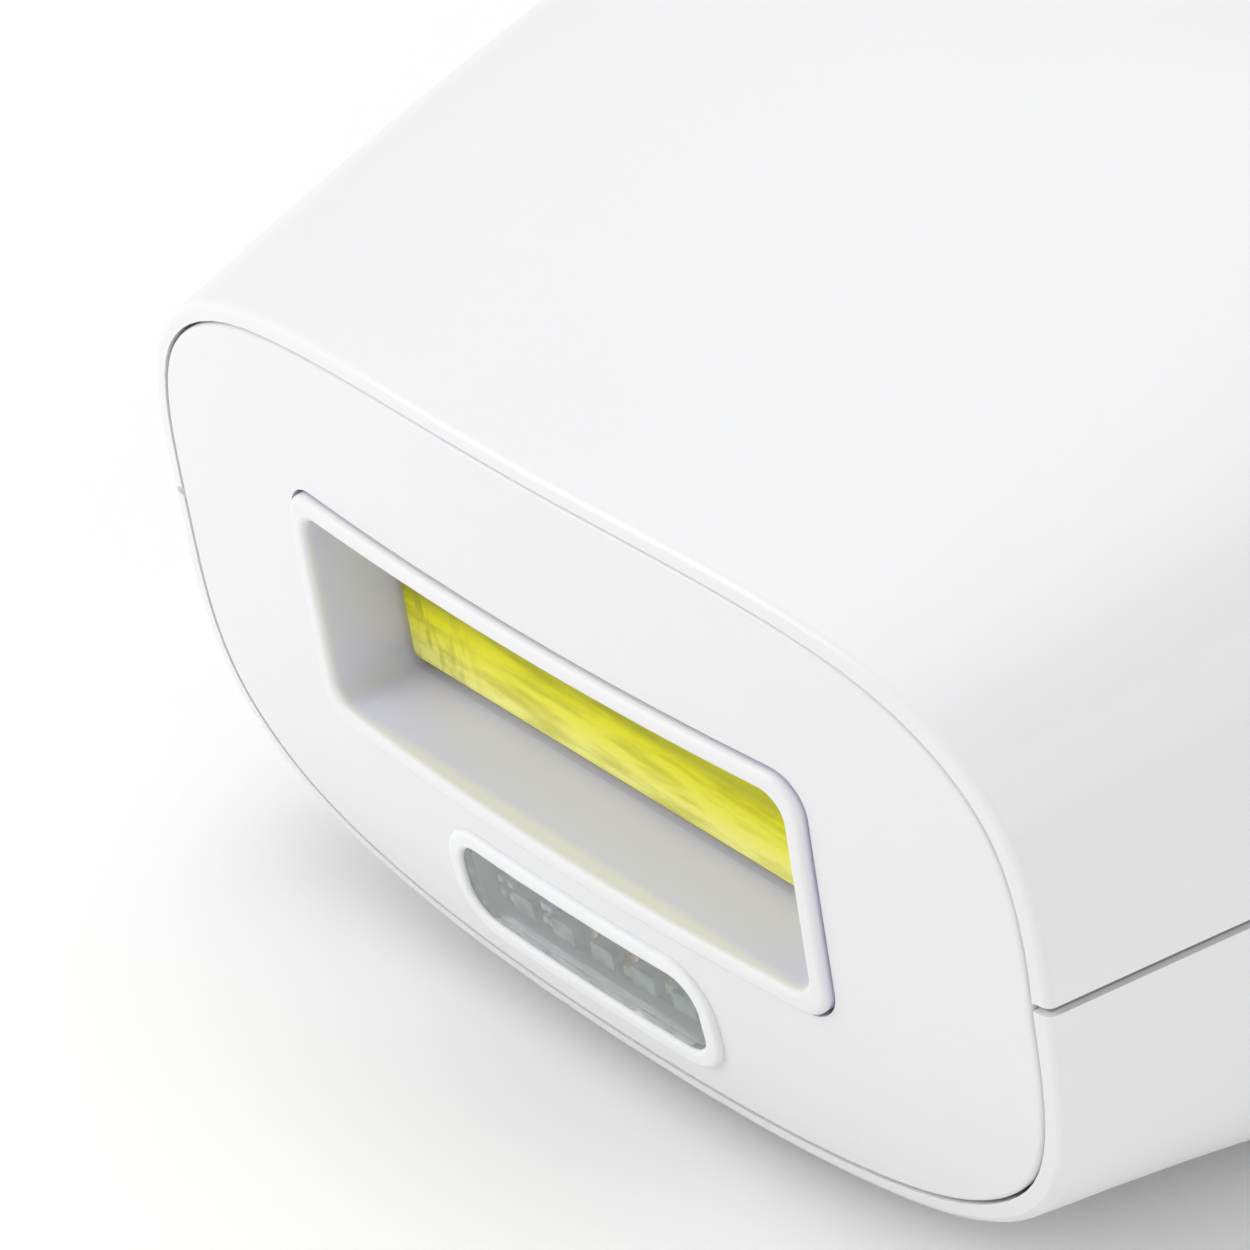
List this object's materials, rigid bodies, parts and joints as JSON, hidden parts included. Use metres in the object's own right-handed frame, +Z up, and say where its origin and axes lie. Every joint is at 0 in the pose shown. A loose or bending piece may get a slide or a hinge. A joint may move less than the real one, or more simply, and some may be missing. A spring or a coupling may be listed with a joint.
{
  "type": "ipl hair remover",
  "caption": "Hand-held intense-pulsed-light hair remover: flared white head with a framed yellow-glass light window and skin-tone sensor, on a curved grip with buttons.",
  "frame": {"origin": "on the surface it lies on, below the middle of the whole device's box", "axes": "+Z up as it lies on its inner side, -Y the way the light window faces, +X across the head to its own left seen from behind"},
  "size_m": [0.0829, 0.1962, 0.0558],
  "materials": {
    "white_gloss": "smooth high-gloss white moulding",
    "soft_white": "soft white elastomer",
    "grey_strip": "satin grey strip",
    "yellow_glass": "polished yellow filter glass with a ground bevel",
    "clear_lens": "clear window",
    "light_pipe": "frosted clear light pipe",
    "circuit_board": "green solder mask",
    "chips": "black moulded parts",
    "dark_plastic": "dark grey heat-resistant plastic",
    "grey_trim": "fine-grained light grey plastic",
    "button": "satin white keys",
    "polished_aluminium": "mirror-polished sheet",
    "aluminium": "cast and milled",
    "quartz": "clear quartz tube",
    "steel": "nickel-plated steel",
    "silicone": "silicone rubber",
    "plug_rubber": "soft grey plugs",
    "capacitor_sleeve": "dark blue sleeve",
    "copper_winding": "enamelled copper winding",
    "black_plastic": "black socket"
  },
  "bodies": {
    "housing": {"upper_shell": "white_gloss", "lower_shell": "white_gloss", "face_plate": "white_gloss", "sensor_bezel": "soft_white", "seam_strip_left": "grey_strip", "seam_strip_right": "grey_strip", "filter_glass": "yellow_glass", "sensor_lens": "clear_lens", "intensity_lights": "light_pipe", "ready_light": "light_pipe", "main_board": "circuit_board", "control_board": "circuit_board", "sensor_board": "circuit_board", "board_parts": "chips", "sensor_parts": "chips", "tact_switches": "chips", "trigger_switch": "chips", "frame_switches": "chips", "lamp_housing": "dark_plastic", "lamp_backplate": "dark_plastic", "fan_frame": "dark_plastic", "vent_grille_left": "grey_trim", "vent_grille_right": "grey_trim", "control_panel": "grey_trim", "end_cap": "grey_trim", "reflector": "polished_aluminium", "reflector_ends": "polished_aluminium", "heat_sink": "aluminium", "flash_lamp": "quartz", "lamp_electrodes": "steel", "frame_springs": "steel", "shell_screws": "steel", "inlet_pin": "steel", "filter_gasket": "silicone", "lamp_sockets": "silicone", "screw_plugs": "plug_rubber", "storage_capacitor": "capacitor_sleeve", "transformer": "copper_winding", "trigger_coil": "copper_winding", "inlet_socket": "black_plastic"},
    "contact_frame": {"contact_frame": "white_gloss"},
    "flash_button": {"flash_button": "button"},
    "power_button": {"power_button": "button"},
    "intensity_up_button": {"intensity_up_button": "button"},
    "intensity_down_button": {"intensity_down_button": "button"},
    "fan_rotor": {"fan_rotor": "dark_plastic"}
  },
  "joints": [
    {"name": "frame_press", "type": "slide", "parent": "housing", "child": "contact_frame", "axis": [0, 0.9839, 0.1788], "range_m": [0, 0.001], "stiffness_N_per_m": 900, "springref_m": -0.001, "deforming": ["frame_springs"]},
    {"name": "flash_press", "type": "slide", "parent": "housing", "child": "flash_button", "axis": [0, -0.1503, 0.9886], "range_m": [0, 0.0012], "stiffness_N_per_m": 700, "springref_m": -0.0012},
    {"name": "power_press", "type": "slide", "parent": "housing", "child": "power_button", "axis": [0, -0.1388, -0.9903], "range_m": [0, 0.0006], "stiffness_N_per_m": 900, "springref_m": -0.0006},
    {"name": "intensity_up_press", "type": "slide", "parent": "housing", "child": "intensity_up_button", "axis": [0, -0.1388, -0.9903], "range_m": [0, 0.0006], "stiffness_N_per_m": 900, "springref_m": -0.0006},
    {"name": "intensity_down_press", "type": "slide", "parent": "housing", "child": "intensity_down_button", "axis": [0, -0.1388, -0.9903], "range_m": [0, 0.0006], "stiffness_N_per_m": 900, "springref_m": -0.0006},
    {"name": "fan_spin", "type": "hinge", "parent": "housing", "child": "fan_rotor", "pos_m": [0, -0.03455, 0.028], "axis": [0, 1, 0], "continuous": true}
  ]
}
